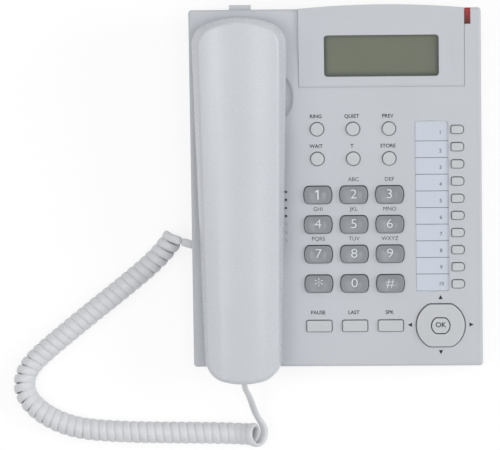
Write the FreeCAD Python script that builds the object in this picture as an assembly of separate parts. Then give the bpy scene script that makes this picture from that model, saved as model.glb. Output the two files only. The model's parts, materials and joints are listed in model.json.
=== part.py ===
"""Corded desk phone: tilting display, dial and memory keys, lift-off handset and curly cord.

Millimetres. +X right, +Y towards the display, +Z up. The origin is on the table, under the phone's middle.
"""
import FreeCAD, Part
import math
import os

from FreeCAD import Vector

os.makedirs("parts", exist_ok=True)

# Base housing
BASE_WIDTH = 174.4
BASE_DEPTH = 214.0
BASE_CORNER = 2.0
BASE_EDGE_ROUND = 1.6
PAN_EDGE_ROUND = 1.1
INSIDE_CORNER = 0.5
BASE_WALL = 2.5
FRONT_HEIGHT = 24.0
SPLIT_HEIGHT = 10.0
KEY_DECK_SLOPE = 8.0
DISPLAY_DECK_SLOPE = 10.5
CREASE_FROM_FRONT = 163.8
STEP_CLEARANCE = 1.5
SHELL_JOINT = 0.2
REAR_TAB_WIDTH = 13.0
REAR_TAB_REACH = 3.0
REAR_TAB_THICK = 3.0
REAR_TAB_DROP = 4.5

# Feet and screws under the base
FOOT_HEIGHT = 2.0
FOOT_DIAMETER = 12.0
FOOT_SEAT_DEPTH = 0.8
FOOT_INSET = 15.0
SCREW_INSET = 8.5
SCREW_DIAMETER = 2.6
SCREW_LENGTH = 7.2
SCREW_HEAD_DIAMETER = 5.2
SCREW_HEAD_HEIGHT = 1.6
SCREW_BOSS_DIAMETER = 6.6
SCREW_SINK = 0.2
SCREW_CLEARANCE = 0.06

# Keys: places are measured along the key deck from its front edge
KEY_GAP = 0.45
KEY_TRAVEL = 1.2
KEY_FLANGE_WIDTH = 1.0
KEY_FLANGE_THICK = 1.0
KEY_PLAY = 0.08
COLUMN_PITCH = 21.5
COLUMN_MIDDLE_FROM_STEP = 37.0
ROW_PITCH = 17.95
DIAL_FIRST_ROW = 50.4
DIAL_KEY_WIDTH = 16.6
DIAL_KEY_LENGTH = 10.4
DIAL_KEY_BULGE = 1.6
DIAL_KEY_CORNER = 2.4
DIAL_KEY_RISE = 2.0
DIAL_KEY_ROUND = 0.5
DIAL_DISH_WIDTH = 9.9
DIAL_DISH_DEPTH = 0.5
ROUND_KEY_COUNT = 6
ROUND_FIRST_ROW = 126.0
ROUND_KEY_DIAMETER = 7.9
ROUND_KEY_RISE = 1.5
ROUND_KEY_ROUND = 0.6
BAR_ROW = 24.6
BAR_KEY_WIDTH = 14.9
BAR_KEY_LENGTH = 6.7
BAR_KEY_CORNER = 0.9
BAR_KEY_RISE = 1.4
BAR_KEY_ROUND = 0.4
MEMORY_KEY_COUNT = 10
MEMORY_INSET = 14.4
MEMORY_FIRST_ROW = 49.8
MEMORY_PITCH = 10.37
MEMORY_KEY_WIDTH = 7.2
MEMORY_KEY_LENGTH = 4.7
MEMORY_LEFT_CORNER = 0.9
MEMORY_RIGHT_CORNER = 1.9
MEMORY_KEY_RISE = 1.3
MEMORY_KEY_ROUND = 0.4

# Navigation ring and the key in its middle
NAV_INSET = 25.2
NAV_ROW = 24.6
NAV_WIDTH = 29.0
NAV_LENGTH = 25.7
NAV_CORNER = 4.0
NAV_RISE = 1.6
NAV_ROUND = 0.6
NAV_GAP = 0.6
NAV_FLANGE_DROP = 1.4
NAV_SEAT_GAP = 0.6
NAV_SEAT_WIDTH = 2.0
NAV_SEAT_THICK = 1.4
SET_WIDTH = 10.6
SET_LENGTH = 9.1
SET_CORNER = 1.5
SET_RISE = 2.2
SET_ROUND = 0.5
SET_FLANGE_DROP = 0.6

# Index card beside the memory keys
CARD_SPACING = 2.0
CARD_WIDTH = 19.6
CARD_LENGTH = 102.4
CARD_FIRST_EDGE = 45.7
CARD_THICK = 0.35
CARD_COVER_THICK = 0.9
CARD_GAP = 0.15
CARD_CORNER = 0.8
NAIL_NOTCH_DIAMETER = 8.0
NAIL_NOTCH_REACH = 0.7

# Board, keypad mat and loudspeaker
MAT_THICK = 1.0
BOARD_THICK = 1.6
BOARD_STEP_GAP = 3.9
BOARD_WALL_GAP = 0.7
BOARD_BOSS_GAP = 0.3
BOARD_CREASE_GAP = 7.4
BOARD_POST_DIAMETER = 4.6
BOARD_STAKE_DIAMETER = 2.4
BOARD_STAKE_RISE = 0.8
BOARD_POST_INSET = 3.2
BOARD_CLEARANCE = 0.1
DOME_GAP = 0.1
DOME_DIAMETER = 5.0
DOME_TOP_DIAMETER = 3.6
SPEAKER_OFFSET = 9.5
SPEAKER_ROW = 91.0
SPEAKER_DIAMETER = 42.0
SPEAKER_DEPTH = 12.0
SPEAKER_MAGNET_DIAMETER = 22.0
SPEAKER_RIM_THICK = 3.0
SPEAKER_HOLE_INSET = 3.8
SPEAKER_HOLE_FIRST = 76.8
SPEAKER_HOLE_PITCH = 4.9
SPEAKER_HOLE_COUNT = 7
SPEAKER_OPEN_HOLES = 4
SPEAKER_HOLE_DIAMETER = 1.5
SPEAKER_BLIND_DEPTH = 0.8

# Display unit, hinged along its lower edge
DISPLAY_FROM_STEP = 4.95
DISPLAY_WIDTH = 98.9
DISPLAY_SETBACK = 0.8
DISPLAY_THICK = 9.0
DISPLAY_BULGE = 2.2
DISPLAY_GAP = 0.35
DISPLAY_SIDE_GAP = 0.2
DISPLAY_WALL = 2.0
POCKET_WALL = 2.0
HINGE_PIN_DIAMETER = 3.0
HINGE_PIN_LENGTH = 2.4
HINGE_CLEARANCE = 0.05
HINGE_BOSS_DIAMETER = 6.4
WINDOW_WIDTH = 68.3
WINDOW_LENGTH = 24.8
WINDOW_CORNER = 2.0
WINDOW_INSET = 9.2
WINDOW_SINK = 0.5
WINDOW_FLANGE = 1.2
WINDOW_FLANGE_THICK = 1.0
WINDOW_GAP = 0.1
LCD_THICK = 2.4
LCD_REST_WIDTH = 4.0
DISPLAY_LINE_SPACING = 84.4
DISPLAY_LINE_LENGTH = 31.0
DISPLAY_LINE_WIDTH = 0.6
DISPLAY_LINE_DEPTH = 0.12
LAMP_SPACING = 0.25
LAMP_WIDTH = 3.4
LAMP_LENGTH = 9.7
LAMP_DROP = 9.0
LAMP_GAP = 0.1

# Handset, lying along the key deck
HANDSET_INSET = 30.7
HANDSET_LENGTH = 220.4
HANDSET_OVERHANG = 8.0
HANDSET_BACK_WIDTH = 57.0
HANDSET_FRONT_WIDTH = 45.6
HANDSET_BACK_BULGE = 8.0
HANDSET_FRONT_BULGE = 5.5
HANDSET_CORNER = 14.0
HANDSET_PARTING = 11.0
HANDSET_TOP = 23.0
HANDSET_BACK_LEAN = 5.6
HANDSET_FRONT_LEAN = 1.2
HANDSET_END_LEAN = 0.8
HANDSET_LOWER_LEAN = 3.0
HANDSET_CROWN_RADIUS = 95.0
HANDSET_EDGE_ROUND = 3.0
HANDSET_FLOOR = 0.8
HANDSET_WALL = 2.0
GRIP_CLEAR = 7.5
GRIP_START = 62.0
GRIP_END = 150.0
GRIP_RAMP = 12.0
CUP_DEPTH = 8.0
CUP_GAP = 0.8
CUP_EDGE_ROUND = 1.0
CUP_REST_GAP = 0.3
EAR_CUP_WIDTH = 46.0
EAR_CUP_LENGTH = 46.0
EAR_CUP_CORNER = 18.0
EAR_CUP_MIDDLE = 182.0
MOUTH_CUP_WIDTH = 37.0
MOUTH_CUP_LENGTH = 40.0
MOUTH_CUP_CORNER = 15.0
MOUTH_CUP_MIDDLE = 29.0
EARPIECE_DIAMETER = 34.0
EARPIECE_HEIGHT = 7.0
MICROPHONE_DIAMETER = 9.7
MICROPHONE_HEIGHT = 5.0
SOUND_HOLE_DIAMETER = 2.0
SOUND_HOLE_RING = 7.0
SOUND_HOLE_COUNT = 6
DIP_MIDDLE = 163.5
DIP_DIAMETER = 36.0
DIP_DEPTH = 1.5
DIP_PAST_STEP = 1.5

# Hook plunger in the ear well
HOOK_MIDDLE = 192.0
HOOK_DIAMETER = 8.0
HOOK_TRAVEL = 4.0
HOOK_CLEARANCE = 0.08
HOOK_FLANGE = 1.2
HOOK_FLANGE_THICK = 1.5
HOOK_GUIDE_LENGTH = 2.5
HOOK_GUIDE_WALL = 1.8

# Jacks, plugs and cord
PLUG_WIDTH = 7.65
PLUG_HEIGHT = 6.5
PLUG_LENGTH = 12.5
PLUG_PROUD = 1.0
PLUG_GAP = 0.1
PLUG_EDGE = 0.6
JACK_WALL = 1.6
BASE_JACK_FROM_FRONT = 73.7
BASE_JACK_HEIGHT = 15.4
LINE_JACK_X = 20.0
LINE_JACK_HEIGHT = 20.0
LINE_SOCKET_WIDTH = 9.8
LINE_SOCKET_HEIGHT = 6.8
LINE_SOCKET_DEPTH = 12.0
JACK_GAP = 0.1
WIRE_DIAMETER = 2.6
COIL_DIAMETER = 12.6
COIL_TURNS = 57.561
COIL_START_ANGLE = 15.0
COIL_FLOOR_GAP = 0.2
COIL_START_LIFT = 2.0
COIL_END_LIFT = 5.0
TAIL_STRAIGHT = 6.0
PLUG_STRAIGHT = 8.0
TAIL_ARC_SHARE = 0.45
GAP_POINTS_PER_TURN = 24

# Places that follow from the sizes above
KEY_ANGLE = math.radians(KEY_DECK_SLOPE)
DISPLAY_ANGLE = math.radians(DISPLAY_DECK_SLOPE)
HANDSET_REACH = HANDSET_OVERHANG * math.cos(KEY_ANGLE) + HANDSET_PARTING * math.sin(KEY_ANGLE)
REAR_REACH = max(REAR_TAB_REACH, DISPLAY_BULGE)
FRONT_Y = HANDSET_REACH - (HANDSET_REACH + BASE_DEPTH + REAR_REACH) / 2
BACK_Y = FRONT_Y + BASE_DEPTH
CREASE_Y = FRONT_Y + CREASE_FROM_FRONT
CREASE_Z = FRONT_HEIGHT + CREASE_FROM_FRONT * math.tan(KEY_ANGLE)
HANDSET_X = HANDSET_INSET - BASE_WIDTH / 2
STEP_X = HANDSET_X + HANDSET_BACK_WIDTH / 2 + STEP_CLEARANCE
DIP_X = STEP_X + DIP_PAST_STEP - DIP_DIAMETER / 2
SPEAKER_X = HANDSET_X + SPEAKER_OFFSET
SPEAKER_HOLE_X = STEP_X - SPEAKER_HOLE_INSET
COLUMN_MIDDLE_X = STEP_X + COLUMN_MIDDLE_FROM_STEP
DISPLAY_X = STEP_X + DISPLAY_FROM_STEP + DISPLAY_WIDTH / 2
RAISED_X = DISPLAY_X - DISPLAY_WIDTH / 2 - DISPLAY_SIDE_GAP / 2
LAMP_X = DISPLAY_X + DISPLAY_WIDTH / 2 + LAMP_SPACING + LAMP_WIDTH / 2
MEMORY_X = BASE_WIDTH / 2 - MEMORY_INSET
CARD_X = MEMORY_X - MEMORY_KEY_WIDTH / 2 - CARD_SPACING - CARD_WIDTH / 2
NAV_X = BASE_WIDTH / 2 - NAV_INSET
BOARD_LEFT_X = STEP_X + BOARD_STEP_GAP
BOARD_RIGHT_X = BASE_WIDTH / 2 - BASE_WALL - BOARD_WALL_GAP
BOARD_FRONT = SCREW_INSET + SCREW_BOSS_DIAMETER / 2 + BOARD_BOSS_GAP
BOARD_BACK = CREASE_FROM_FRONT / math.cos(KEY_ANGLE) - BOARD_CREASE_GAP
X_AXIS = Vector(1, 0, 0)
Y_AXIS = Vector(0, 1, 0)
Z_AXIS = Vector(0, 0, 1)
KEY_TILT = FreeCAD.Rotation(X_AXIS, KEY_DECK_SLOPE)
DISPLAY_TILT = FreeCAD.Rotation(X_AXIS, DISPLAY_DECK_SLOPE)
KEY_PLANE = FreeCAD.Placement(Vector(0, FRONT_Y, FRONT_HEIGHT), KEY_TILT)
DISPLAY_PLANE = FreeCAD.Placement(Vector(0, CREASE_Y, CREASE_Z), DISPLAY_TILT)
KEY_FLANGE_TOP = -BASE_WALL - KEY_PLAY
KEY_FOOT = KEY_FLANGE_TOP - KEY_FLANGE_THICK
NAV_FLANGE_TOP = -BASE_WALL - NAV_FLANGE_DROP
NAV_FOOT = NAV_FLANGE_TOP - KEY_FLANGE_THICK
NAV_SEAT_TOP = NAV_FOOT - NAV_SEAT_GAP
NAV_SEAT_INNER = SET_WIDTH + 2 * (KEY_FLANGE_WIDTH + NAV_GAP)
SET_FLANGE_TOP = NAV_FOOT - SET_FLANGE_DROP
SET_FOOT = SET_FLANGE_TOP - KEY_FLANGE_THICK
MAT_TOP = SET_FOOT - KEY_TRAVEL - DOME_GAP
BOARD_TOP = MAT_TOP - MAT_THICK
WELL_FLOOR = -(CUP_DEPTH + CUP_REST_GAP)
PAN_FLOOR = FOOT_HEIGHT + BASE_WALL
SCREW_SEAT = FOOT_HEIGHT + SCREW_SINK + SCREW_HEAD_HEIGHT
SCREW_TIP = SCREW_SEAT + SCREW_LENGTH

# Working values: lengths that reach past everything, and the smallest difference that counts
FAR = 400.0
ABOVE = 100.0
OVERLAP = 1.0
SAME = 1e-6


# Helpers

def on_key_deck(shape):
    """Move a shape drawn as (x, distance up the deck, height above it) to the key deck."""
    moved = shape.copy()
    moved.Placement = KEY_PLANE.multiply(moved.Placement)
    return moved


def on_display_deck(shape):
    """The same for the steeper display deck, from the crease."""
    moved = shape.copy()
    moved.Placement = DISPLAY_PLANE.multiply(moved.Placement)
    return moved


def box(x0, x1, y0, y1, z0, z1):
    return Part.makeBox(x1 - x0, y1 - y0, z1 - z0, Vector(x0, y0, z0))


def cylinder(diameter, x, y, z0, z1):
    return Part.makeCylinder(diameter / 2, z1 - z0, Vector(x, y, z0))


def round_uprights(solid, radius, wanted=None):
    """Round the upright edges, or those that the test in wanted picks by their place."""
    uprights = []
    for edge in solid.Edges:
        ends = [vertex.Point for vertex in edge.Vertexes]
        if len(ends) != 2 or (ends[1] - ends[0]).cross(Z_AXIS).Length > SAME:
            continue
        if wanted is None or wanted(ends[0]):
            uprights.append(edge)
    return solid.makeFillet(radius, uprights)


def rounded_box(width, length, corner, x, y, z0, z1):
    solid = box(x - width / 2, x + width / 2, y - length / 2, y + length / 2, z0, z1)
    return round_uprights(solid, corner)


def prism_along_x(profile, x0, x1):
    """Extrude a closed (y, z) outline of straight lines along X."""
    points = [Vector(x0, y, z) for y, z in profile]
    face = Part.Face(Part.makePolygon(points + points[:1]))
    return face.extrude(Vector(x1 - x0, 0, 0))


def round_top(solid, radius, level):
    """Round the edges of the flat face at the given height."""
    rim = []
    for edge in solid.Edges:
        span = edge.BoundBox
        if abs(span.ZMin - level) < SAME and abs(span.ZMax - level) < SAME:
            rim.append(edge)
    return solid.makeFillet(radius, rim)


def joined(solids):
    return solids[0].multiFuse(solids[1:]).removeSplitter() if len(solids) > 1 else solids[0]


def export(node, shape):
    if not shape.isValid():
        print("INVALID", node)
    solids = shape.Solids
    print(f"{node}: {len(solids)} solid(s), {sum(solid.Volume for solid in solids):.1f} mm3")
    shape.exportStep(f"parts/{node}.step")


# Key outlines: each gives the key's section, grown outwards, between two heights

def dial_section(grow, low, high):
    half_width = DIAL_KEY_WIDTH / 2 + grow
    half_length = DIAL_KEY_LENGTH / 2 + grow
    waist = half_width - DIAL_KEY_BULGE
    near_left = Vector(-waist, -half_length, low)
    near_right = Vector(waist, -half_length, low)
    far_left = Vector(-waist, half_length, low)
    far_right = Vector(waist, half_length, low)
    right = Part.Arc(near_right, Vector(half_width, 0, low), far_right)
    top = Part.LineSegment(far_right, far_left)
    left = Part.Arc(far_left, Vector(-half_width, 0, low), near_left)
    bottom = Part.LineSegment(near_left, near_right)
    wire = Part.Wire([curve.toShape() for curve in (right, top, left, bottom)])
    solid = Part.Face(wire).extrude(Vector(0, 0, high - low))
    return round_uprights(solid, DIAL_KEY_CORNER + grow)


def round_section(grow, low, high):
    return cylinder(ROUND_KEY_DIAMETER + 2 * grow, 0, 0, low, high)


def bar_section(grow, low, high):
    width = BAR_KEY_WIDTH + 2 * grow
    length = BAR_KEY_LENGTH + 2 * grow
    return rounded_box(width, length, BAR_KEY_CORNER + grow, 0, 0, low, high)


def memory_section(grow, low, high):
    half_width = MEMORY_KEY_WIDTH / 2 + grow
    half_length = MEMORY_KEY_LENGTH / 2 + grow
    solid = box(-half_width, half_width, -half_length, half_length, low, high)
    solid = round_uprights(solid, MEMORY_LEFT_CORNER + grow, lambda point: point.x < -half_width / 2)
    return round_uprights(solid, MEMORY_RIGHT_CORNER + grow, lambda point: point.x > half_width - SAME)


def flat_circle(width, length, corner, low, high):
    """A round section with flats at its near and far sides, rounded where they meet."""
    disc = cylinder(width, 0, 0, low, high)
    flattened = disc.common(box(-width, width, -length / 2, length / 2, low, high))
    return round_uprights(flattened, corner, lambda point: abs(point.y) > length / 2 - SAME)


def nav_section(grow, low, high):
    return flat_circle(NAV_WIDTH + 2 * grow, NAV_LENGTH + 2 * grow, NAV_CORNER + grow, low, high)


def set_section(grow, low, high):
    return flat_circle(SET_WIDTH + 2 * grow, SET_LENGTH + 2 * grow, SET_CORNER + grow, low, high)


def key_at(shape, x, row):
    moved = shape.copy()
    moved.translate(Vector(x, row, 0))
    return on_key_deck(moved)


def sprung_key(section, rise, edge_round):
    """A cap that passes through the deck, with the flange that stops it from below."""
    cap = round_top(section(0, KEY_FOOT, rise), edge_round, rise)
    flange = section(KEY_FLANGE_WIDTH, KEY_FOOT, KEY_FLANGE_TOP)
    return joined([cap, flange])


def dished(key):
    """Sink a shallow round dish into the top of a dial key."""
    radius = ((DIAL_DISH_WIDTH / 2) ** 2 + DIAL_DISH_DEPTH ** 2) / (2 * DIAL_DISH_DEPTH)
    return key.cut(Part.makeSphere(radius, Vector(0, 0, DIAL_KEY_RISE - DIAL_DISH_DEPTH + radius)))


COLUMNS = [COLUMN_MIDDLE_X + COLUMN_PITCH * step for step in (-1, 0, 1)]
DIAL_ROWS = [DIAL_FIRST_ROW + ROW_PITCH * step for step in (3, 2, 1, 0)]
ROUND_ROWS = [ROUND_FIRST_ROW + ROW_PITCH * step for step in (1, 0)]
MEMORY_ROWS = [MEMORY_FIRST_ROW + MEMORY_PITCH * step for step in reversed(range(MEMORY_KEY_COUNT))]
DIAL_NAMES = ["1", "2", "3", "4", "5", "6", "7", "8", "9", "star", "0", "hash"]
BAR_NAMES = ["left", "middle", "right"]


def key_plan():
    """Every sprung key as (node, section, x, row)."""
    plan = []
    for index, name in enumerate(DIAL_NAMES):
        plan.append((f"dial_key_{name}", dial_section, COLUMNS[index % 3], DIAL_ROWS[index // 3]))
    for index in range(ROUND_KEY_COUNT):
        plan.append((f"round_key_{index + 1}", round_section, COLUMNS[index % 3], ROUND_ROWS[index // 3]))
    for index, name in enumerate(BAR_NAMES):
        plan.append((f"bar_key_{name}", bar_section, COLUMNS[index], BAR_ROW))
    for index, row in enumerate(MEMORY_ROWS):
        plan.append((f"memory_key_{index + 1}", memory_section, MEMORY_X, row))
    return plan


KEYS = key_plan()


def make_keys():
    caps = {
        dial_section: dished(sprung_key(dial_section, DIAL_KEY_RISE, DIAL_KEY_ROUND)),
        round_section: sprung_key(round_section, ROUND_KEY_RISE, ROUND_KEY_ROUND),
        bar_section: sprung_key(bar_section, BAR_KEY_RISE, BAR_KEY_ROUND),
        memory_section: sprung_key(memory_section, MEMORY_KEY_RISE, MEMORY_KEY_ROUND),
    }
    for node, section, x, row in KEYS:
        export(node, key_at(caps[section], x, row))


def make_navigation():
    """The ring rocks on a round seat, and the set key passes through both."""
    ring = round_top(nav_section(0, NAV_FOOT, NAV_RISE), NAV_ROUND, NAV_RISE)
    ring = joined([ring, nav_section(KEY_FLANGE_WIDTH, NAV_FOOT, NAV_FLANGE_TOP)])
    ring = ring.cut(set_section(NAV_GAP, NAV_FOOT - OVERLAP, NAV_RISE + OVERLAP))
    seat = cylinder(NAV_SEAT_INNER + 2 * NAV_SEAT_WIDTH, 0, 0, NAV_SEAT_TOP - NAV_SEAT_THICK, NAV_SEAT_TOP)
    seat = seat.cut(cylinder(NAV_SEAT_INNER, 0, 0, NAV_SEAT_TOP - NAV_SEAT_THICK, NAV_SEAT_TOP))
    cap = round_top(set_section(0, SET_FOOT, SET_RISE), SET_ROUND, SET_RISE)
    cap = joined([cap, set_section(KEY_FLANGE_WIDTH, SET_FOOT, SET_FLANGE_TOP)])
    export("nav_ring", key_at(ring, NAV_X, NAV_ROW))
    export("nav_ring_seat", key_at(seat, NAV_X, NAV_ROW))
    export("set_key", key_at(cap, NAV_X, NAV_ROW))


# Base housing

def deck_block(inset, floor):
    """The base's solid under both decks, with walls and decks moved inwards by inset."""
    key_drop = inset / math.cos(KEY_ANGLE)
    display_drop = inset / math.cos(DISPLAY_ANGLE)
    front = FRONT_Y + inset
    back = BACK_Y - inset
    half = BASE_WIDTH / 2 - inset
    crease = CREASE_Y + (key_drop - display_drop) / (math.tan(KEY_ANGLE) - math.tan(DISPLAY_ANGLE))

    def key_line(y):
        return FRONT_HEIGHT + (y - FRONT_Y) * math.tan(KEY_ANGLE) - key_drop

    def display_line(y):
        return CREASE_Z + (y - CREASE_Y) * math.tan(DISPLAY_ANGLE) - display_drop

    low = [(front, floor), (back, floor), (back, key_line(back)), (front, key_line(front))]
    high = low[:2] + [(back, display_line(back)), (crease, key_line(crease)), (front, key_line(front))]
    block = joined([prism_along_x(low, -half, half), prism_along_x(high, RAISED_X + inset, half)])
    depth = BASE_DEPTH - 2 * inset
    corner = max(BASE_CORNER - inset, INSIDE_CORNER)
    plan = rounded_box(2 * half, depth, corner, 0, (FRONT_Y + BACK_Y) / 2, floor - OVERLAP, FAR)
    return block.common(plan)


def round_deck_rim(block):
    """Round the rim where the decks meet the outer walls, but not the step beside the handset."""
    rim = []
    for edge in block.Edges:
        faces = block.ancestorsOfType(edge, Part.Face)
        if len(faces) != 2:
            continue
        middle = edge.valueAt((edge.FirstParameter + edge.LastParameter) / 2)
        tilts = sorted(abs(face.normalAt(*face.Surface.parameter(middle)).z) for face in faces)
        on_step = abs(middle.x - RAISED_X) < SAME
        if tilts[0] < 0.1 and 0.5 < tilts[1] and middle.z > SPLIT_HEIGHT + OVERLAP and not on_step:
            rim.append(edge)
    return block.makeFillet(BASE_EDGE_ROUND, rim)


def display_plan(grow):
    """An upright prism on the display unit's outline, with its bulged back edge."""
    x0 = DISPLAY_X - DISPLAY_WIDTH / 2 - grow
    x1 = DISPLAY_X + DISPLAY_WIDTH / 2 + grow
    back = BACK_Y + grow
    corners = [Vector(x0, back, 0), Vector(x0, FRONT_Y, 0), Vector(x1, FRONT_Y, 0), Vector(x1, back, 0)]
    sides = [Part.makeLine(start, end) for start, end in zip(corners, corners[1:])]
    back_arc = Part.Arc(corners[3], Vector(DISPLAY_X, back + DISPLAY_BULGE, 0), corners[0]).toShape()
    return Part.Face(Part.Wire(sides + [back_arc])).extrude(Vector(0, 0, FAR))


def display_block(grow, side_grow, bulge_open):
    """The display unit's envelope, half round along its hinge; open at the back for its pocket."""
    radius = DISPLAY_THICK / 2 + grow
    hinge_v = DISPLAY_SETBACK + DISPLAY_THICK / 2
    hinge_w = -DISPLAY_THICK / 2
    x0 = DISPLAY_X - DISPLAY_WIDTH / 2 - side_grow
    x1 = DISPLAY_X + DISPLAY_WIDTH / 2 + side_grow
    top = Vector(x0, hinge_v, hinge_w + radius)
    bottom = Vector(x0, hinge_v, hinge_w - radius)
    nose = Vector(x0, hinge_v - radius, hinge_w)
    far_top = Vector(x0, BASE_DEPTH, hinge_w + radius)
    far_bottom = Vector(x0, BASE_DEPTH, hinge_w - radius)
    edges = [Part.Arc(bottom, nose, top).toShape(), Part.makeLine(top, far_top),
             Part.makeLine(far_top, far_bottom), Part.makeLine(far_bottom, bottom)]
    slab = on_display_deck(Part.Face(Part.Wire(edges)).extrude(Vector(x1 - x0, 0, 0)))
    if bulge_open:
        return slab.common(box(x0, x1, FRONT_Y, BACK_Y + FAR, 0, FAR))
    return slab.common(display_plan(grow))


def hinge_rod(diameter, reach):
    """Both hinge pins as one rod each, from the display's sides outwards by reach."""
    v = DISPLAY_SETBACK + DISPLAY_THICK / 2
    w = -DISPLAY_THICK / 2
    left = Part.makeCylinder(diameter / 2, reach, Vector(DISPLAY_X - DISPLAY_WIDTH / 2, v, w), -X_AXIS)
    right = Part.makeCylinder(diameter / 2, reach, Vector(DISPLAY_X + DISPLAY_WIDTH / 2, v, w), X_AXIS)
    return [on_display_deck(left), on_display_deck(right)]


def cup_section(name, grow, low, high):
    sizes = {
        "ear": (EAR_CUP_WIDTH, EAR_CUP_LENGTH, EAR_CUP_CORNER, EAR_CUP_MIDDLE),
        "mouth": (MOUTH_CUP_WIDTH, MOUTH_CUP_LENGTH, MOUTH_CUP_CORNER, MOUTH_CUP_MIDDLE),
    }
    width, length, corner, middle = sizes[name]
    return rounded_box(width + 2 * grow, length + 2 * grow, corner + grow, HANDSET_X, middle, low, high)


def card_recess(grow, depth):
    """The index card's recess with its two nail notches."""
    low = -depth
    middle = CARD_FIRST_EDGE + CARD_LENGTH / 2
    width = CARD_WIDTH + 2 * grow
    length = CARD_LENGTH + 2 * grow
    pieces = [rounded_box(width, length, CARD_CORNER + grow, CARD_X, middle, low, ABOVE)]
    notch = CARD_LENGTH / 2 + NAIL_NOTCH_REACH - NAIL_NOTCH_DIAMETER / 2
    for row in (middle - notch, middle + notch):
        pieces.append(cylinder(NAIL_NOTCH_DIAMETER, CARD_X, row, low, ABOVE))
    return on_key_deck(joined(pieces))


def dip(grow):
    """Shallow round dip in the deck under the handset's edge, beside its ear end."""
    return on_key_deck(cylinder(DIP_DIAMETER + 2 * grow, DIP_X, DIP_MIDDLE, -DIP_DEPTH - grow, ABOVE))


def board_posts():
    """Middles of the four posts that carry the board."""
    xs = (BOARD_LEFT_X + BOARD_POST_INSET, BOARD_RIGHT_X - BOARD_POST_INSET)
    rows = (BOARD_FRONT + BOARD_POST_INSET, BOARD_BACK - BOARD_POST_INSET)
    return [(x, row) for x in xs for row in rows]


def screw_places():
    half = BASE_WIDTH / 2 - SCREW_INSET
    return [(x, y) for x in (-half, half) for y in (FRONT_Y + SCREW_INSET, BACK_Y - SCREW_INSET)]


LAMP_BOX = (LAMP_X - LAMP_WIDTH / 2, LAMP_X + LAMP_WIDTH / 2, BACK_Y - LAMP_LENGTH, BACK_Y + FAR)
LAMP_LOW = CREASE_Z + (BACK_Y - CREASE_Y) * math.tan(DISPLAY_ANGLE) - LAMP_DROP
HOOK_TOP = WELL_FLOOR + CUP_REST_GAP / 2
HOOK_GUIDE_LOW = WELL_FLOOR - BASE_WALL - HOOK_GUIDE_LENGTH
HOOK_FLANGE_TOP = HOOK_GUIDE_LOW - HOOK_TRAVEL - CUP_REST_GAP


def lamp_opening(grow):
    x0, x1, y0, y1 = LAMP_BOX
    return box(x0 - grow, x1 + grow, y0 - grow, y1, LAMP_LOW - grow, FAR)


def base_jack_box(grow, x0, x1):
    """Section of the cord jack's block, across the left wall."""
    half_width = PLUG_WIDTH / 2 + PLUG_GAP + JACK_WALL + grow
    half_height = PLUG_HEIGHT / 2 + PLUG_GAP + JACK_WALL + grow
    y = FRONT_Y + BASE_JACK_FROM_FRONT
    z = BASE_JACK_HEIGHT
    return box(x0, x1, y - half_width, y + half_width, z - half_height, z + half_height)


def line_jack_box(grow, y0, y1):
    half_width = LINE_SOCKET_WIDTH / 2 + JACK_WALL + grow
    half_height = LINE_SOCKET_HEIGHT / 2 + JACK_WALL + grow
    return box(LINE_JACK_X - half_width, LINE_JACK_X + half_width, y0, y1,
               LINE_JACK_HEIGHT - half_height, LINE_JACK_HEIGHT + half_height)


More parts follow.
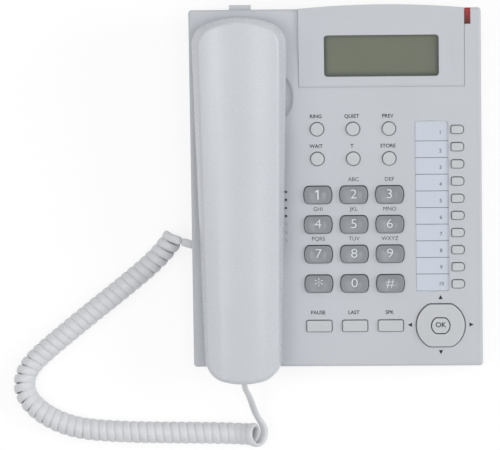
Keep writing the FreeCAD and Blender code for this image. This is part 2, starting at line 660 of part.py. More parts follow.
def make_base_top_cover(outer):
    cavity = deck_block(BASE_WALL, SPLIT_HEIGHT - OVERLAP)
    wells = [on_key_deck(cup_section(name, CUP_GAP, WELL_FLOOR, ABOVE)) for name in ("ear", "mouth")]
    well_walls = [on_key_deck(cup_section(name, CUP_GAP + BASE_WALL, WELL_FLOOR - BASE_WALL, ABOVE))
                  for name in ("ear", "mouth")]
    pocket = display_block(DISPLAY_GAP, DISPLAY_SIDE_GAP, True)
    pocket_walls = display_block(DISPLAY_GAP + POCKET_WALL, DISPLAY_SIDE_GAP + POCKET_WALL, True)
    cavity = cavity.cut(well_walls + [dip(BASE_WALL), pocket_walls])

    # Posts, bosses and guides inside the shell
    under_deck = deck_block(BASE_WALL / 2, PAN_FLOOR)
    ribs = []
    for x, y in screw_places():
        boss = cylinder(SCREW_BOSS_DIAMETER, x, y, PAN_FLOOR + SHELL_JOINT, ABOVE)
        ribs.append(boss.common(under_deck))
    for x, row in board_posts():
        post = cylinder(BOARD_POST_DIAMETER, x, row, BOARD_TOP, -BASE_WALL / 2)
        stake_low = BOARD_TOP - BOARD_THICK - BOARD_STAKE_RISE
        stake = cylinder(BOARD_STAKE_DIAMETER, x, row, stake_low, BOARD_TOP)
        ribs += [on_key_deck(post), on_key_deck(stake)]
    guide_diameter = HOOK_DIAMETER + 2 * HOOK_GUIDE_WALL
    guide = cylinder(guide_diameter, HANDSET_X, HOOK_MIDDLE, HOOK_GUIDE_LOW, WELL_FLOOR)
    ribs.append(on_key_deck(guide))
    ribs += hinge_rod(HINGE_BOSS_DIAMETER, DISPLAY_SIDE_GAP + HINGE_PIN_LENGTH + OVERLAP)
    tab_z = FRONT_HEIGHT + BASE_DEPTH * math.tan(KEY_ANGLE) - REAR_TAB_DROP
    ribs.append(box(HANDSET_X - REAR_TAB_WIDTH / 2, HANDSET_X + REAR_TAB_WIDTH / 2, BACK_Y - BASE_WALL,
                    BACK_Y + REAR_TAB_REACH, tab_z - REAR_TAB_THICK, tab_z))
    cover = joined([outer.cut(cavity)] + ribs)

    # Openings
    cuts = wells + [pocket, dip(0), lamp_opening(LAMP_GAP)]
    cuts.append(card_recess(CARD_GAP, CARD_THICK + CARD_COVER_THICK))
    for node, section, x, row in KEYS:
        cuts.append(key_at(section(KEY_GAP, -BASE_WALL - OVERLAP, ABOVE), x, row))
    cuts.append(key_at(nav_section(NAV_GAP, -BASE_WALL - OVERLAP, ABOVE), NAV_X, NAV_ROW))
    first_open_hole = SPEAKER_HOLE_COUNT - SPEAKER_OPEN_HOLES
    for index in range(SPEAKER_HOLE_COUNT):
        depth = BASE_WALL + OVERLAP if index >= first_open_hole else SPEAKER_BLIND_DEPTH
        row = SPEAKER_HOLE_FIRST + SPEAKER_HOLE_PITCH * index
        cuts.append(on_key_deck(cylinder(SPEAKER_HOLE_DIAMETER, SPEAKER_HOLE_X, row, -depth, ABOVE)))
    bore = cylinder(HOOK_DIAMETER + 2 * HOOK_CLEARANCE, HANDSET_X, HOOK_MIDDLE, HOOK_GUIDE_LOW - OVERLAP, 0)
    cuts.append(on_key_deck(bore))
    cuts += hinge_rod(HINGE_PIN_DIAMETER + 2 * HINGE_CLEARANCE, DISPLAY_SIDE_GAP + HINGE_PIN_LENGTH)
    for x, y in screw_places():
        cuts.append(cylinder(SCREW_DIAMETER + 2 * SCREW_CLEARANCE, x, y, PAN_FLOOR, SCREW_TIP + OVERLAP))
    cuts.append(base_jack_box(JACK_GAP, -BASE_WIDTH / 2 - OVERLAP, -BASE_WIDTH / 2 + BASE_WALL + OVERLAP))
    cuts.append(line_jack_box(JACK_GAP, BACK_Y - BASE_WALL - OVERLAP, BACK_Y + OVERLAP))
    export("base_top_cover", cover.cut(cuts))


def make_base_bottom_cover():
    middle = (FRONT_Y + BACK_Y) / 2
    top = SPLIT_HEIGHT - SHELL_JOINT
    pan = rounded_box(BASE_WIDTH, BASE_DEPTH, BASE_CORNER, 0, middle, FOOT_HEIGHT, top)
    pan = round_top(pan, PAN_EDGE_ROUND, FOOT_HEIGHT)
    width = BASE_WIDTH - 2 * BASE_WALL
    length = BASE_DEPTH - 2 * BASE_WALL
    inside = rounded_box(width, length, INSIDE_CORNER, 0, middle, PAN_FLOOR, SPLIT_HEIGHT)
    cuts = [inside]
    for x, y in foot_places():
        cuts.append(cylinder(FOOT_DIAMETER, x, y, 0, FOOT_HEIGHT + FOOT_SEAT_DEPTH))
    for x, y in screw_places():
        cuts.append(cylinder(SCREW_HEAD_DIAMETER + 2 * JACK_GAP, x, y, 0, SCREW_SEAT))
        cuts.append(cylinder(SCREW_DIAMETER + 2 * SCREW_CLEARANCE, x, y, 0, PAN_FLOOR))
    export("base_bottom_cover", pan.cut(cuts))


def foot_places():
    half = BASE_WIDTH / 2 - FOOT_INSET
    return [(x, y) for x in (-half, half) for y in (FRONT_Y + FOOT_INSET, BACK_Y - FOOT_INSET)]


def make_feet_and_screws():
    feet = [cylinder(FOOT_DIAMETER, x, y, 0, FOOT_HEIGHT + FOOT_SEAT_DEPTH) for x, y in foot_places()]
    export("rubber_feet", Part.makeCompound(feet))
    screws = []
    for x, y in screw_places():
        head = cylinder(SCREW_HEAD_DIAMETER, x, y, FOOT_HEIGHT + SCREW_SINK, SCREW_SEAT)
        shank = cylinder(SCREW_DIAMETER, x, y, SCREW_SEAT, SCREW_TIP)
        screws.append(joined([head, shank]))
    export("housing_screws", Part.makeCompound(screws))


def make_card():
    middle = CARD_FIRST_EDGE + CARD_LENGTH / 2
    low = -CARD_THICK - CARD_COVER_THICK
    card = rounded_box(CARD_WIDTH, CARD_LENGTH, CARD_CORNER, CARD_X, middle, low, -CARD_COVER_THICK)
    cover = rounded_box(CARD_WIDTH, CARD_LENGTH, CARD_CORNER, CARD_X, middle, -CARD_COVER_THICK, 0)
    export("label_card", on_key_deck(card))
    export("label_cover", on_key_deck(cover))


def make_lamp(outer):
    lens = outer.common(lamp_opening(0)).cut(deck_block(BASE_WALL, SPLIT_HEIGHT))
    export("ring_lamp_lens", lens)


def make_board_and_mat():
    board = box(BOARD_LEFT_X, BOARD_RIGHT_X, BOARD_FRONT, BOARD_BACK, BOARD_TOP - BOARD_THICK, BOARD_TOP)
    mat = box(BOARD_LEFT_X, BOARD_RIGHT_X, BOARD_FRONT, BOARD_BACK, BOARD_TOP, MAT_TOP)
    holes = []
    sockets = []
    for x, row in board_posts():
        stake = BOARD_STAKE_DIAMETER + 2 * BOARD_CLEARANCE
        holes.append(cylinder(stake, x, row, BOARD_TOP - BOARD_THICK, BOARD_TOP))
        sockets.append(cylinder(BOARD_POST_DIAMETER + 2 * BOARD_CLEARANCE, x, row, BOARD_TOP, MAT_TOP))
    board = board.cut(holes)
    mat = mat.cut(sockets)
    domes = [dome(x, row, KEY_FOOT) for node, section, x, row in KEYS]
    domes.append(dome(NAV_X, NAV_ROW, SET_FOOT))
    seat_foot = NAV_SEAT_TOP - NAV_SEAT_THICK - DOME_GAP
    ring = cylinder(NAV_SEAT_INNER + 2 * NAV_SEAT_WIDTH, NAV_X, NAV_ROW, MAT_TOP, seat_foot)
    ring = ring.cut(cylinder(NAV_SEAT_INNER, NAV_X, NAV_ROW, MAT_TOP, seat_foot))
    mat = joined([mat, ring] + domes)
    export("main_board", on_key_deck(board))
    export("keypad_mat", on_key_deck(mat))


def dome(x, row, key_foot):
    """Rubber dome on the mat, up to just under a key."""
    height = key_foot - DOME_GAP - MAT_TOP
    return Part.makeCone(DOME_DIAMETER / 2, DOME_TOP_DIAMETER / 2, height, Vector(x, row, MAT_TOP))


def make_speaker():
    top = -BASE_WALL
    rim_low = top - SPEAKER_RIM_THICK
    rim = cylinder(SPEAKER_DIAMETER, SPEAKER_X, SPEAKER_ROW, rim_low, top)
    magnet = cylinder(SPEAKER_MAGNET_DIAMETER, SPEAKER_X, SPEAKER_ROW, top - SPEAKER_DEPTH, rim_low)
    export("speaker", on_key_deck(joined([rim, magnet])))


def make_hook():
    pin = cylinder(HOOK_DIAMETER, HANDSET_X, HOOK_MIDDLE, HOOK_FLANGE_TOP - HOOK_FLANGE_THICK, HOOK_TOP)
    flange = cylinder(HOOK_DIAMETER + 2 * HOOK_FLANGE, HANDSET_X, HOOK_MIDDLE,
                      HOOK_FLANGE_TOP - HOOK_FLANGE_THICK, HOOK_FLANGE_TOP)
    export("hook_plunger", on_key_deck(joined([pin, flange])))


# Display unit

def display_slab(inset, v0, w0, w1):
    """A plate inside the display unit's outline, between two depths."""
    x0 = DISPLAY_X - DISPLAY_WIDTH / 2 + inset
    x1 = DISPLAY_X + DISPLAY_WIDTH / 2 - inset
    slab = on_display_deck(box(x0, x1, v0, BASE_DEPTH, w0, w1))
    return slab.common(display_plan(-inset))


def window_section(grow, low, high):
    middle = DISPLAY_SETBACK + WINDOW_INSET + WINDOW_LENGTH / 2
    width = WINDOW_WIDTH + 2 * grow
    length = WINDOW_LENGTH + 2 * grow
    return on_display_deck(rounded_box(width, length, WINDOW_CORNER, DISPLAY_X, middle, low, high))


def make_display():
    hinge_v = DISPLAY_SETBACK + DISPLAY_THICK / 2
    plate_top = -DISPLAY_THICK + DISPLAY_WALL
    outer = display_block(0, 0, False)
    inner = display_block(-DISPLAY_WALL, -DISPLAY_WALL, False)
    below = display_slab(DISPLAY_WALL, hinge_v, -DISPLAY_THICK - OVERLAP, plate_top)
    middle = DISPLAY_SETBACK + WINDOW_INSET + WINDOW_LENGTH / 2
    lines = []
    low = middle - DISPLAY_LINE_LENGTH / 2
    high = middle + DISPLAY_LINE_LENGTH / 2
    for side in (-1, 1):
        x = DISPLAY_X + side * DISPLAY_LINE_SPACING / 2
        half = DISPLAY_LINE_WIDTH / 2
        line = box(x - half, x + half, low, high, -DISPLAY_LINE_DEPTH, OVERLAP)
        lines.append(on_display_deck(line))
    bezel = joined([outer] + hinge_rod(HINGE_PIN_DIAMETER, HINGE_PIN_LENGTH))
    bezel = bezel.cut([inner, below, window_section(WINDOW_GAP, -DISPLAY_THICK, OVERLAP)] + lines)
    export("display_bezel", bezel)

    flange_low = -DISPLAY_WALL - WINDOW_FLANGE_THICK
    pane = window_section(0, -DISPLAY_WALL, -WINDOW_SINK)
    flange = window_section(WINDOW_FLANGE, flange_low, -DISPLAY_WALL)
    export("lcd_window", joined([pane, flange]))
    lcd_low = flange_low - LCD_THICK
    export("lcd_module", window_section(WINDOW_FLANGE, lcd_low, flange_low))

    back = display_slab(DISPLAY_WALL + WINDOW_GAP, hinge_v + WINDOW_GAP, -DISPLAY_THICK, plate_top)
    rests = []
    low = middle - WINDOW_LENGTH / 2
    high = middle + WINDOW_LENGTH / 2
    for side in (-1, 1):
        x = DISPLAY_X + side * (WINDOW_WIDTH - LCD_REST_WIDTH) / 2
        rest = box(x - LCD_REST_WIDTH / 2, x + LCD_REST_WIDTH / 2, low, high, plate_top, lcd_low)
        rests.append(on_display_deck(rest))
    export("display_back", joined([back] + rests))


# Handset

def handset_outline(inset, lean, w):
    """The handset's closed outline at one height, moved in by inset and by a share of the sides' lean."""
    front_half = HANDSET_FRONT_WIDTH / 2 - inset - HANDSET_FRONT_LEAN * lean
    back_half = HANDSET_BACK_WIDTH / 2 - inset - HANDSET_BACK_LEAN * lean
    end = inset + HANDSET_END_LEAN * lean
    front = end - HANDSET_OVERHANG
    back = HANDSET_LENGTH - HANDSET_OVERHANG - end
    front_left = Vector(HANDSET_X - front_half, front + HANDSET_FRONT_BULGE, w)
    front_right = Vector(HANDSET_X + front_half, front + HANDSET_FRONT_BULGE, w)
    back_left = Vector(HANDSET_X - back_half, back - HANDSET_BACK_BULGE, w)
    back_right = Vector(HANDSET_X + back_half, back - HANDSET_BACK_BULGE, w)
    front_arc = Part.Arc(front_left, Vector(HANDSET_X, front, w), front_right).toShape()
    back_arc = Part.Arc(back_right, Vector(HANDSET_X, back, w), back_left).toShape()
    sides = [Part.makeLine(front_right, back_right), Part.makeLine(back_left, front_left)]
    wire = Part.Wire([front_arc, sides[0], back_arc, sides[1]])
    slab = round_uprights(Part.Face(wire).extrude(Z_AXIS), HANDSET_CORNER - inset)
    bottom = min(slab.Faces, key=lambda face: face.CenterOfMass.z)
    return bottom.OuterWire


def handset_upper_block(inset):
    """The upper half's solid: leaning sides under a crowned top."""
    reach = (HANDSET_TOP + OVERLAP - HANDSET_PARTING) / (HANDSET_TOP - HANDSET_PARTING)
    wires = [handset_outline(inset, 0, HANDSET_PARTING), handset_outline(inset, reach, HANDSET_TOP + OVERLAP)]
    sides = Part.makeLoft(wires, True, True)
    start = Vector(HANDSET_X, -FAR / 2, HANDSET_TOP - HANDSET_CROWN_RADIUS)
    crown = Part.makeCylinder(HANDSET_CROWN_RADIUS - inset, 2 * FAR, start, Y_AXIS)
    crown.rotate(start, Y_AXIS, 180)
    return sides.common(crown)


def round_crown(block):
    """Round the edge between the crowned top and the leaning sides."""
    tops = [face for face in block.Faces if face.CenterOfMass.z > HANDSET_TOP - HANDSET_EDGE_ROUND
            and face.Surface.TypeId == "Part::GeomCylinder"]
    return block.makeFillet(HANDSET_EDGE_ROUND, max(tops, key=lambda face: face.Area).Edges)


def handset_lower_block(inset):
    """The lower half's solid, arched under the grip, with the two cups below it."""
    low = HANDSET_FLOOR + inset
    wires = [handset_outline(inset + HANDSET_LOWER_LEAN, 0, low), handset_outline(inset, 0, HANDSET_PARTING)]
    body = Part.makeLoft(wires, True, True)
    clear = GRIP_CLEAR + inset
    start = GRIP_START - inset
    end = GRIP_END + inset
    rise = [(start, -FAR), (start, low), (start + GRIP_RAMP, clear)]
    fall = [(end - GRIP_RAMP, clear), (end, low), (end, -FAR)]
    arch = rise + fall
    body = body.cut(prism_along_x(arch, -FAR, FAR))
    cups = [cup_section(name, -inset, inset - CUP_DEPTH, low + OVERLAP) for name in ("ear", "mouth")]
    if inset == 0:
        cups = [round_top(cup, CUP_EDGE_ROUND, -CUP_DEPTH) for cup in cups]
    return joined([body] + cups)


PLUG_W = (HANDSET_FLOOR + HANDSET_PARTING) / 2
PLUG_LEAN = HANDSET_LOWER_LEAN * (HANDSET_PARTING - PLUG_W) / (HANDSET_PARTING - HANDSET_FLOOR)
PLUG_V = PLUG_LEAN - HANDSET_OVERHANG - PLUG_PROUD


def handset_plug_box(grow, v0, v1):
    half_width = PLUG_WIDTH / 2 + grow
    half_height = PLUG_HEIGHT / 2 + grow
    x = HANDSET_X
    return box(x - half_width, x + half_width, v0, v1, PLUG_W - half_height, PLUG_W + half_height)


def sound_holes():
    """Holes through the cup floors: a ring and a middle one for the ear, one for the mouth."""
    low = -CUP_DEPTH - OVERLAP
    high = HANDSET_WALL - CUP_DEPTH
    middles = (EAR_CUP_MIDDLE, MOUTH_CUP_MIDDLE)
    holes = [cylinder(SOUND_HOLE_DIAMETER, HANDSET_X, middle, low, high) for middle in middles]
    for index in range(SOUND_HOLE_COUNT):
        angle = 2 * math.pi * index / SOUND_HOLE_COUNT
        x = HANDSET_X + SOUND_HOLE_RING * math.cos(angle)
        row = EAR_CUP_MIDDLE + SOUND_HOLE_RING * math.sin(angle)
        holes.append(cylinder(SOUND_HOLE_DIAMETER, x, row, low, high))
    return holes


def make_handset():
    upper = round_crown(handset_upper_block(0)).cut(handset_upper_block(HANDSET_WALL))
    export("handset_upper_shell", on_key_deck(upper))

    outer = handset_lower_block(0)
    jack_end = PLUG_V + PLUG_LENGTH + PLUG_GAP
    jack = handset_plug_box(PLUG_GAP + JACK_WALL, -HANDSET_OVERHANG, jack_end + JACK_WALL).common(outer)
    lower = joined([outer.cut(handset_lower_block(HANDSET_WALL)), jack])
    socket = handset_plug_box(PLUG_GAP, -FAR, jack_end)
    export("handset_lower_shell", on_key_deck(lower.cut([socket] + sound_holes())))

    cup_floor = HANDSET_WALL - CUP_DEPTH
    ear_top = cup_floor + EARPIECE_HEIGHT
    mouth_top = cup_floor + MICROPHONE_HEIGHT
    earpiece = cylinder(EARPIECE_DIAMETER, HANDSET_X, EAR_CUP_MIDDLE, cup_floor, ear_top)
    microphone = cylinder(MICROPHONE_DIAMETER, HANDSET_X, MOUTH_CUP_MIDDLE, cup_floor, mouth_top)
    export("earpiece", on_key_deck(earpiece))
    export("handset_microphone", on_key_deck(microphone))
    plug = handset_plug_box(0, PLUG_V, PLUG_V + PLUG_LENGTH)
    export("cord_plug_handset", on_key_deck(plug.makeFillet(PLUG_EDGE, plug.Edges)))


# Jacks, plugs and cord

def make_jacks():
    wall_x = -BASE_WIDTH / 2
    y = FRONT_Y + BASE_JACK_FROM_FRONT
    half_width = PLUG_WIDTH / 2 + PLUG_GAP
    half_height = PLUG_HEIGHT / 2 + PLUG_GAP
    plug_end = wall_x - PLUG_PROUD + PLUG_LENGTH
    jack = base_jack_box(0, wall_x, plug_end + PLUG_GAP + JACK_WALL)
    socket = box(wall_x - OVERLAP, plug_end + PLUG_GAP, y - half_width, y + half_width,
                 BASE_JACK_HEIGHT - half_height, BASE_JACK_HEIGHT + half_height)
    export("base_cord_jack", jack.cut(socket))
    plug = box(wall_x - PLUG_PROUD, plug_end, y - PLUG_WIDTH / 2, y + PLUG_WIDTH / 2,
               BASE_JACK_HEIGHT - PLUG_HEIGHT / 2, BASE_JACK_HEIGHT + PLUG_HEIGHT / 2)
    export("cord_plug_base", plug.makeFillet(PLUG_EDGE, plug.Edges))

    jack = line_jack_box(0, BACK_Y - LINE_SOCKET_DEPTH - JACK_WALL, BACK_Y)
    socket = box(LINE_JACK_X - LINE_SOCKET_WIDTH / 2, LINE_JACK_X + LINE_SOCKET_WIDTH / 2,
                 BACK_Y - LINE_SOCKET_DEPTH, BACK_Y + OVERLAP,
                 LINE_JACK_HEIGHT - LINE_SOCKET_HEIGHT / 2, LINE_JACK_HEIGHT + LINE_SOCKET_HEIGHT / 2)
    export("line_jack", jack.cut(socket))


COIL_REST = COIL_DIAMETER / 2 + COIL_FLOOR_GAP
COIL_RADIUS = (COIL_DIAMETER - WIRE_DIAMETER) / 2

# The coil's middle line on the table, from the base to the handset, as laid by hand
COIL_ROUTE = [
    (-101.5, -26.0, COIL_REST + COIL_START_LIFT), (-110.1, -40.1, COIL_REST), (-127.6, -54.3, COIL_REST),
    (-147.1, -69.5, COIL_REST), (-163.8, -82.9, COIL_REST), (-177.7, -94.4, COIL_REST),
    (-186.8, -102.0, COIL_REST), (-190.6, -109.8, COIL_REST), (-189.6, -118.0, COIL_REST),
    (-183.7, -125.9, COIL_REST), (-173.5, -133.5, COIL_REST), (-159.8, -139.6, COIL_REST),
    (-143.2, -143.0, COIL_REST), (-118.9, -144.1, COIL_REST), (-90.0, -144.4, COIL_REST),
    (-70.6, -144.7, COIL_REST), (-56.5, -145.4, COIL_REST), (-48.8, -146.3, COIL_REST + COIL_END_LIFT),
]


def coil_curve():
    """The route's smooth curve: second degree, with the route as its control points."""
    poles = [Vector(*point) for point in COIL_ROUTE]
    spans = len(poles) - 2
    curve = Part.BSplineCurve()
    curve.buildFromPolesMultsKnots(poles, [3] + [1] * (spans - 1) + [3], list(range(spans + 1)), False, 2)
    return curve


COIL_CURVE = coil_curve()
COIL_LENGTH = COIL_CURVE.length()


def coil_point(turns):
    """Middle of the wire after a number of turns."""
    parameter = COIL_CURVE.parameterAtDistance(COIL_LENGTH * turns / COIL_TURNS, COIL_CURVE.FirstParameter)
    along = COIL_CURVE.tangent(parameter)[0]
    along.normalize()
    up = Z_AXIS - along * along.dot(Z_AXIS)
    up.normalize()
    side = along.cross(up)
    angle = math.radians(COIL_START_ANGLE) + 2 * math.pi * turns
    return COIL_CURVE.value(parameter) + (up * math.cos(angle) + side * math.sin(angle)) * COIL_RADIUS


def coil_heading(turns):
    """Direction of the wire there."""
    step = 1e-3
    before = max(turns - step, 0)
    after = min(turns + step, COIL_TURNS)
    heading = coil_point(after) - coil_point(before)
    heading.normalize()
    return heading


def arc_edge(start, corner, end):
    """The arc from start to end that is tangent to both legs of the corner."""
    weight = (end - start).Length / (2 * (corner - start).Length)
    middle = (start + end + corner * (2 * weight)) * (0.5 / (1 + weight))
    return Part.Arc(start, middle, end).toShape()


def biarc_edges(start, start_heading, end, end_heading):
    """Two tangent arcs between two points with given headings."""
    chord = end - start
    turn = 2 * (1 - start_heading.dot(end_heading))
    both = chord.dot(start_heading + end_heading)
    leg = (math.sqrt(both ** 2 + turn * chord.dot(chord)) - both) / turn
    first = start + start_heading * leg
    second = end - end_heading * leg
    middle = (first + second) * 0.5
    return [arc_edge(start, first, middle), arc_edge(middle, second, end)]


def swept(edges, start, heading):
    """A round wire swept along edges that follow each other."""
    section = Part.Wire(Part.makeCircle(WIRE_DIAMETER / 2, start, heading))
    return Part.Wire(edges).makePipeShell([section], True, False)


def make_coil():
    """The curls as one unbroken tube; returns where its straight ends start and head."""
    quarters = math.ceil(COIL_TURNS * 4)
    stations = [COIL_TURNS * index / quarters for index in range(quarters + 1)]
    points = [coil_point(turns) for turns in stations]
    headings = [coil_heading(turns) for turns in stations]
    start = points[0] - headings[0] * WIRE_DIAMETER
    end = points[-1] + headings[-1] * WIRE_DIAMETER
    edges = [Part.makeLine(start, points[0])]
    for index in range(quarters):
        edges += biarc_edges(points[index], headings[index], points[index + 1], headings[index + 1])
    edges.append(Part.makeLine(points[-1], end))
    export("cord_coil", swept(edges, start, headings[0]))
    length = sum(edge.Length for edge in edges)
    print(f"coil wire length {length:.0f} mm, least gap to itself {coil_gap():.2f} mm")
    return start, headings[0], end, headings[-1]


def coil_gap():
    """Least gap between neighbouring curls, measured on points."""
    per_turn = GAP_POINTS_PER_TURN
    points = [coil_point(index / per_turn) for index in range(int(COIL_TURNS * per_turn))]
    least = FAR
    for index, point in enumerate(points):
        for other in points[index + per_turn // 2:index + 2 * per_turn]:
            least = min(least, point.distanceToPoint(other))
    return least - WIRE_DIAMETER


def tail_edges(points):
    """Straight runs joined by arcs as large as the runs allow; prints the radii."""
    edges = []
    last = points[0]
    radii = []
    for before, corner, after in zip(points, points[1:], points[2:]):
        arriving = corner - before
        leaving = after - corner
        leg = TAIL_ARC_SHARE * min(arriving.Length, leaving.Length)
        half_turn = arriving.getAngle(leaving) / 2
        radii.append(leg / math.tan(half_turn))
        arriving.normalize()
        leaving.normalize()
        start = corner - arriving * leg
        end = corner + leaving * leg
        edges += [Part.makeLine(last, start), arc_edge(start, corner, end)]
        last = end
    edges.append(Part.makeLine(last, points[-1]))
    print("radii", [round(radius, 1) for radius in radii])
    return edges


def make_tail(node, points):
    edges = tail_edges(points)
    tube = swept(edges, points[0], points[1] - points[0])
    length = sum(edge.Length for edge in edges)
    ratio = tube.Volume / (length * math.pi * WIRE_DIAMETER ** 2 / 4)
    print(f"{node} length {length:.1f} mm, volume ratio {ratio:.4f}")
    export(node, tube)


def make_cord():
    start, start_heading, end, end_heading = make_coil()
    exit_point = Vector(-BASE_WIDTH / 2 - PLUG_PROUD, FRONT_Y + BASE_JACK_FROM_FRONT, BASE_JACK_HEIGHT)
    make_tail("cord_tail_base", [
        exit_point,
        start - start_heading * TAIL_STRAIGHT,
        start,
    ])
    plug_point = KEY_PLANE.multVec(Vector(HANDSET_X, PLUG_V, PLUG_W))
    plug_heading = KEY_PLANE.Rotation.multVec(Vector(0, -1, 0))
    make_tail("cord_tail_handset", [
        end,
        end + end_heading * TAIL_STRAIGHT,
        Vector(-50.5, -130.5, 18.5),
        Vector(-53.3, -126.5, 22.5),
        plug_point + plug_heading * PLUG_STRAIGHT,
        plug_point,
    ])


def main():
    outer = round_deck_rim(deck_block(0, SPLIT_HEIGHT))
    make_base_top_cover(outer)
    make_base_bottom_cover()
    make_feet_and_screws()
    make_keys()
    make_navigation()
    make_card()
    make_lamp(outer)
    make_board_and_mat()
    make_speaker()
    make_hook()
    make_display()
    make_handset()
    make_jacks()
    make_cord()


main()
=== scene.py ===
import json
import math

import bmesh
import bpy
from mathutils import Matrix, Vector
from mathutils.bvhtree import BVHTree


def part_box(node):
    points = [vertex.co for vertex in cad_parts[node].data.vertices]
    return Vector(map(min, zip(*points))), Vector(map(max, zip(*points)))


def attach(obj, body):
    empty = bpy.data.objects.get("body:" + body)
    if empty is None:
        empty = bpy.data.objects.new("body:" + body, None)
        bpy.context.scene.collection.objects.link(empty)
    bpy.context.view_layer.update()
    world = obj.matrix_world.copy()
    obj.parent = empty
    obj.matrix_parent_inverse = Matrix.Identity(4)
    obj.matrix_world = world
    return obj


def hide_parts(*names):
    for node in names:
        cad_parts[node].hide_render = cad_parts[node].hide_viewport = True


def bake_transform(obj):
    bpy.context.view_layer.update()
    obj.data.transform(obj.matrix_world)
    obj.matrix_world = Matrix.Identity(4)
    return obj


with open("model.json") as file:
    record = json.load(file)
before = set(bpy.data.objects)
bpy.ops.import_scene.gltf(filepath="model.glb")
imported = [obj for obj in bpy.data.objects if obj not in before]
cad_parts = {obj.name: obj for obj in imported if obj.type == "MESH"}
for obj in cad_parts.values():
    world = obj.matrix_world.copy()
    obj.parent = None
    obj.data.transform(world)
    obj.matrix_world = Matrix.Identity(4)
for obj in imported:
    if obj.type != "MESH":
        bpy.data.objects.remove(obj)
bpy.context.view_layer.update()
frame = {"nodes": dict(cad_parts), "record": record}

NODES = frame["nodes"]
MM = 0.001

# Camera: far above the base's right edge, looking slightly to the left
PICTURE_WIDTH_PX = 500
PICTURE_SCALE = 0.6 * MM
CAMERA_DISTANCE = 2.4
CAMERA_AIM = Vector((-51.8, -18.3, 40.0)) * MM
CAMERA_TILT = math.radians(3.2)
CAMERA_ROLL = math.radians(-0.4)
SENSOR_WIDTH = 36.0
CAMERA_REACH = 20

# Light: an even surround, and lamps as their place, size and power in watts
SURROUND_STRENGTH = 0.42
LAMPS = {
    "top_light": ((0.1, 0.5, 2.6), (1.6, 1.6), 9),
    "left_box": ((-1.4, 0.1, 1.6), (1.0, 1.0), 3),
    "right_box": ((1.8, 0.1, 1.2), (1.0, 1.0), 14),
    "left_lamp": ((-0.9, -0.2, 2.0), (0.4, 0.5), 4.2),
    "right_lamp": ((0.55, -0.1, 2.0), (0.6, 0.5), 2.4),
    "left_strip": ((-0.7, -0.68, 2.0), (0.06, 0.45), 1.7),
    "right_strip": ((0.42, -0.68, 2.0), (0.05, 0.45), 1.4),
}

# Floor: its share of light given back, and what the camera sees of it as shaded white plus a glow
FLOOR_HALF_WIDTH = 6.0
FLOOR_DROP = 0.3 * MM
FLOOR_BOUNCE = 0.85
FLOOR_SHADED = 0.24
FLOOR_GLOW = 0.79

# Finishes
PATCH_DETAIL = 3
GRAIN_DETAIL = 2
NOISE_LOW = 0.3
NOISE_HIGH = 0.7
GLOSS_SPREAD = 0.12
BUMP_STRENGTH = 0.6
SPEAKER_METALLIC = 0.6
CLEAR_OPACITY = 0.03
CLEAR_SHRINK = 0.03 * MM
WELD_REACH = 0.001 * MM
CRISP_ANGLE = math.radians(28)
# Painted shade in narrow gaps and inside corners: its reach, samples and strength for each finish
CREVICE_SHADE_REACH = 0.8 * MM
CREVICE_SHADE_SAMPLES = 8
CREVICE_SHADE_STRENGTHS = {"light_keys": 0.85, "dial_keys": 1.0}
# Painted shadow round the LCD's rim, as cast by the bezel round its sunken window: its width and colour
LCD_RIM_SHADOW = 4.2 * MM
LCD_RIM_SHADOW_TINT = (40, 48, 40)
# Painted light and shade in the red lamp's lens: shaded at its front, lit at its back
LAMP_FRONT_SHADED = (84, 42, 38)
LAMP_BACK_LIT = (176, 48, 52)

# Key deck
KEY_SLOPE = math.radians(8)
FRONT_HEIGHT = 24 * MM
DECK_FRONT = Vector((0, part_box("base_top_cover")[0].y, FRONT_HEIGHT))
DECK_UP = Vector((0, math.cos(KEY_SLOPE), math.sin(KEY_SLOPE)))
DECK_OUT = Vector((0, -math.sin(KEY_SLOPE), math.cos(KEY_SLOPE)))

# Printed marks
ROUND_WORDS = ["RING", "QUIET", "PREV", "WAIT", "T", "STORE"]
DIAL_NAMES = ["1", "2", "3", "4", "5", "6", "7", "8", "9", "star", "0", "hash"]
DIAL_MARKS = ["1", "2", "3", "4", "5", "6", "7", "8", "9", "*", "0", "#"]
DIAL_LETTERS = ["", "ABC", "DEF", "GHI", "JKL", "MNO", "PQRS", "TUV", "WXYZ", "", "", ""]
BAR_WORDS = {"left": "PAUSE", "middle": "LAST", "right": "SPK"}
SET_WORD = "OK"
PRINT_THICK = 0.04 * MM
PRINT_SINK = 0.02 * MM
PRINT_EDGE = 0.8 * MM
PRINT_SPLITS = 2
PRINT_START = 10 * MM
TEXT_STEPS = 4
WORD_SIZE = 3.1 * MM
LETTER_SIZE = 3.4 * MM
DIGIT_SIZE = 8.0 * MM
DIGIT_STRETCH = 1.12
ONE_OUTLINE = [
    (0.06, -0.37), (0.06, 0.37), (-0.02, 0.37), (-0.2, 0.23), (-0.16, 0.15), (-0.03, 0.24), (-0.03, -0.37),
]
STAR_SIZE = 12.0 * MM
STAR_DROP = 1.6 * MM
SET_WORD_SIZE = 4.2 * MM
CARD_NUMBER_SIZE = 3.2 * MM
WORD_WEIGHT = 0.02
LETTER_WEIGHT = 0.0
DIGIT_WEIGHT = -0.012
WORD_SHIFT = -0.7 * MM
ROUND_WORD_RISE = 7.3 * MM
DIAL_LETTER_RISE = 8.9 * MM
BAR_WORD_RISE = 7.8 * MM
ARROW_SIZE = 2.6 * MM
ARROW_GAP = 2.6 * MM
RULE_WIDTH = 0.42 * MM
CARD_ROWS = 10
CARD_FIRST_ROW = 11.9 * MM
CARD_NUMBER_INSET = 4.6 * MM
CARD_NUMBER_DROP = 1.0 * MM

